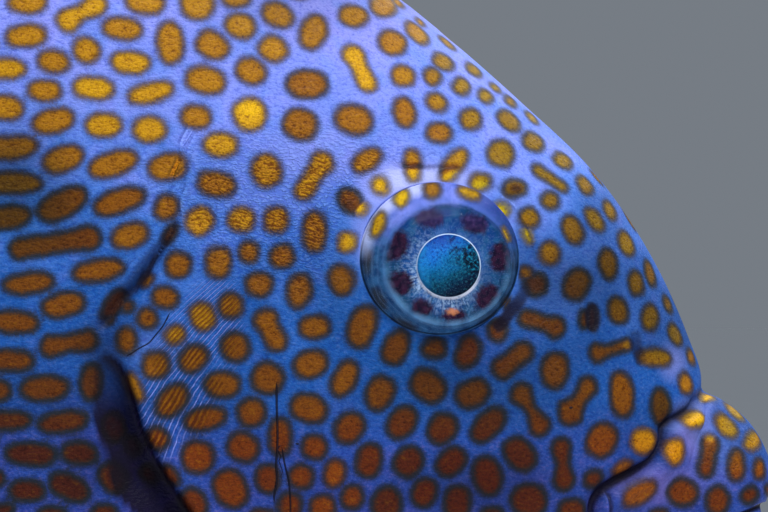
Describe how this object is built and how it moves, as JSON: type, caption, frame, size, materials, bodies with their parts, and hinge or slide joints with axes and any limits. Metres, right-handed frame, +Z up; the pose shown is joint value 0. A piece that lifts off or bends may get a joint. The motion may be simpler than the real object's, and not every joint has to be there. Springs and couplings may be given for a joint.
{
  "type": "gold-spotted rabbitfish model on a display stand",
  "caption": "Life-size reef fish model, deep flat-sided body with spotted skin and ribbed fins, held level above a flat base by thin rods.",
  "frame": {"origin": "on the floor, under the middle of the length from the tip of the snout to the tips of the tail", "axes": "+X towards the snout, +Z up, +Y towards the fish's left side"},
  "size_m": [0.3259, 0.092, 0.2287],
  "materials": {
    "skin": "moist scaled skin, blue violet with round golden brown spots",
    "fin": "thin ribbed membrane, blue violet with golden brown spots",
    "eye": "wet, glassy",
    "wood": "dark stain, satin varnish",
    "steel": "satin"
  },
  "bodies": {
    "root": {"head": "skin", "trunk": "skin", "tail_stalk": "skin", "upper_jaw": "skin", "lower_jaw": "skin", "gill_cover_right": "skin", "gill_cover_left": "skin", "eye_right": "eye", "eye_left": "eye", "dorsal_fin_spines": "fin", "dorsal_fin_rays": "fin", "anal_fin_spines": "fin", "anal_fin_rays": "fin", "tail_fin_upper": "fin", "tail_fin_lower": "fin", "pectoral_fin_right": "fin", "pectoral_fin_left": "fin", "pelvic_fin_right": "fin", "pelvic_fin_left": "fin", "stand_base": "wood", "stand_rod_front": "steel", "stand_rod_rear": "steel"}
  },
  "joints": []
}
